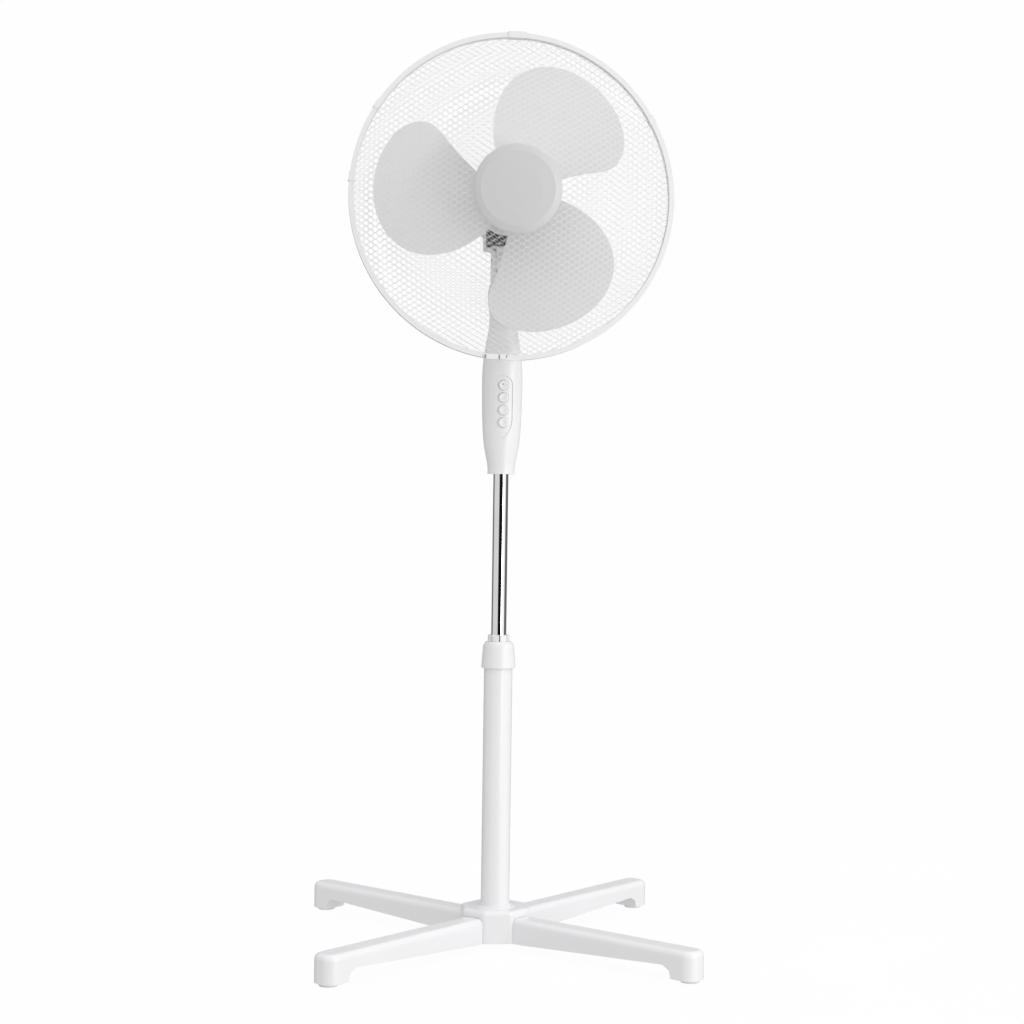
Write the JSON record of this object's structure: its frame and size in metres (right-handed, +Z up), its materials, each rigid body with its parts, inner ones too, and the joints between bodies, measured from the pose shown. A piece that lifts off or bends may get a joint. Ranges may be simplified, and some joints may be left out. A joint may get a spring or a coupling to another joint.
{
  "type": "pedestal fan",
  "caption": "White pedestal fan with a cross base, a telescopic column, a push-button box and a tilting, oscillating head with a three-bladed propeller behind a round mesh guard.",
  "frame": {"origin": "on the floor, on the column's axis, at the middle of the cross base", "axes": "+Z up along the column, -Y towards the front of the fan, +X to the right seen from the front"},
  "size_m": [0.4912, 0.4912, 1.2192],
  "materials": {
    "white_plastic": "semi-gloss moulded",
    "white_paint": "gloss powder coat",
    "dark_plastic": "matt moulded",
    "panel_plastic": "satin",
    "button_plastic": "semi-gloss",
    "blade_plastic": "satin, slightly translucent",
    "badge_plastic": "satin, very light grey",
    "capacitor_case": "matt",
    "gear_plastic": "natural nylon",
    "rubber": "matt",
    "grey_rubber": "matt",
    "chrome": "mirror plated",
    "steel": "zinc plated",
    "lamination_steel": "dark",
    "copper": "enamelled wire",
    "bronze": "sintered"
  },
  "bodies": {
    "base": {"base_hub": "white_plastic", "leg_front_left": "white_plastic", "leg_front_right": "white_plastic", "leg_rear_left": "white_plastic", "leg_rear_right": "white_plastic", "foot_pads": "rubber", "leg_screws": "steel", "column_bolt": "steel", "lower_tube": "white_paint", "lower_tube_plug": "dark_plastic", "collet_sleeve": "white_plastic"},
    "collar": {"height_collar": "white_plastic"},
    "upper_column": {"chrome_tube": "chrome", "tube_glide": "dark_plastic", "control_box_front": "white_plastic", "control_box_back": "white_plastic", "box_screws": "steel", "cord_gland": "grey_rubber", "control_panel": "panel_plastic", "button_springs": "steel", "switch_block": "dark_plastic", "run_capacitor": "capacitor_case", "tube_clamp": "dark_plastic", "neck_fork": "white_plastic", "tilt_bolt": "steel"},
    "button_0": {"button_0": "button_plastic"},
    "button_1": {"button_1": "button_plastic"},
    "button_2": {"button_2": "button_plastic"},
    "button_3": {"button_3": "button_plastic"},
    "tilt_knob": {"tilt_knob": "white_plastic"},
    "bracket": {"tilt_bracket": "white_plastic"},
    "head": {"motor_housing_front": "dark_plastic", "motor_housing_rear": "white_plastic", "stator": "lamination_steel", "windings": "copper", "shaft_bearings": "bronze", "rear_shield": "steel", "gearbox_case": "dark_plastic", "gearbox_lid": "dark_plastic", "swivel_pin": "steel", "front_guard": "white_paint", "rear_guard": "white_paint", "grille_nut": "white_plastic", "grille_ring": "white_paint", "ring_screw": "steel", "ring_nut": "steel", "grille_clips": "white_paint", "badge": "badge_plastic", "badge_plate": "badge_plastic"},
    "spinner": {"motor_shaft": "steel", "rotor": "lamination_steel", "drive_pin": "steel", "fan_blade": "blade_plastic", "blade_nut": "white_plastic"},
    "worm_wheel": {"worm_wheel": "gear_plastic"},
    "crank": {"crank_shaft": "steel", "crank_gear": "gear_plastic"},
    "link": {"link_rod": "steel"},
    "oscillation_knob": {"oscillation_knob": "white_plastic"}
  },
  "joints": [
    {"name": "height_slide", "type": "slide", "parent": "base", "child": "upper_column", "axis": [0, 0, 1], "range_m": [-0.2, 0.08]},
    {"name": "collar_turn", "type": "hinge", "parent": "base", "child": "collar", "pos_m": [0, 0, 0.4], "axis": [0, 0, 1], "range_deg": [0, 150]},
    {"name": "tilt", "type": "hinge", "parent": "upper_column", "child": "bracket", "pos_m": [0, 0, 0.93], "axis": [1, 0, 0], "range_deg": [-20, 15]},
    {"name": "tilt_knob_turn", "type": "hinge", "parent": "upper_column", "child": "tilt_knob", "pos_m": [0.025, 0, 0.93], "axis": [1, 0, 0], "range_deg": [0, 270]},
    {"name": "swivel", "type": "hinge", "parent": "bracket", "child": "head", "pos_m": [0, 0, 0.96], "axis": [0, 0, 1], "range_deg": [-40, 40]},
    {"name": "blade_spin", "type": "hinge", "parent": "head", "child": "spinner", "pos_m": [0, -0.1, 1.0035], "axis": [0, 1, 0], "continuous": true},
    {"name": "worm_wheel_turn", "type": "hinge", "parent": "head", "child": "worm_wheel", "pos_m": [0.0152, 0.034, 0.996], "axis": [0, 0, 1], "continuous": true},
    {"name": "crank_turn", "type": "hinge", "parent": "head", "child": "crank", "pos_m": [0, 0.046, 0.98], "axis": [0, 0, 1], "continuous": true},
    {"name": "link_turn", "type": "hinge", "parent": "crank", "child": "link", "pos_m": [0.005, 0.046, 0.967], "axis": [0, 0, 1], "continuous": true},
    {"name": "oscillation_knob_pull", "type": "slide", "parent": "head", "child": "oscillation_knob", "axis": [0, 0, 1], "range_m": [0, 0.008]},
    {"name": "button_0_press", "type": "slide", "parent": "upper_column", "child": "button_0", "axis": [0, 1, 0], "range_m": [0, 0.003], "stiffness_N_per_m": 300},
    {"name": "button_1_press", "type": "slide", "parent": "upper_column", "child": "button_1", "axis": [0, 1, 0], "range_m": [0, 0.003], "stiffness_N_per_m": 300},
    {"name": "button_2_press", "type": "slide", "parent": "upper_column", "child": "button_2", "axis": [0, 1, 0], "range_m": [0, 0.003], "stiffness_N_per_m": 300},
    {"name": "button_3_press", "type": "slide", "parent": "upper_column", "child": "button_3", "axis": [0, 1, 0], "range_m": [0, 0.003], "stiffness_N_per_m": 300}
  ],
  "couplings": [
    {"joint": "worm_wheel_turn", "follows": "blade_spin", "ratio": 0.016667},
    {"joint": "crank_turn", "follows": "blade_spin", "ratio": -0.003125},
    {"joint": "link_turn", "follows": "blade_spin", "ratio": 0.003125}
  ]
}
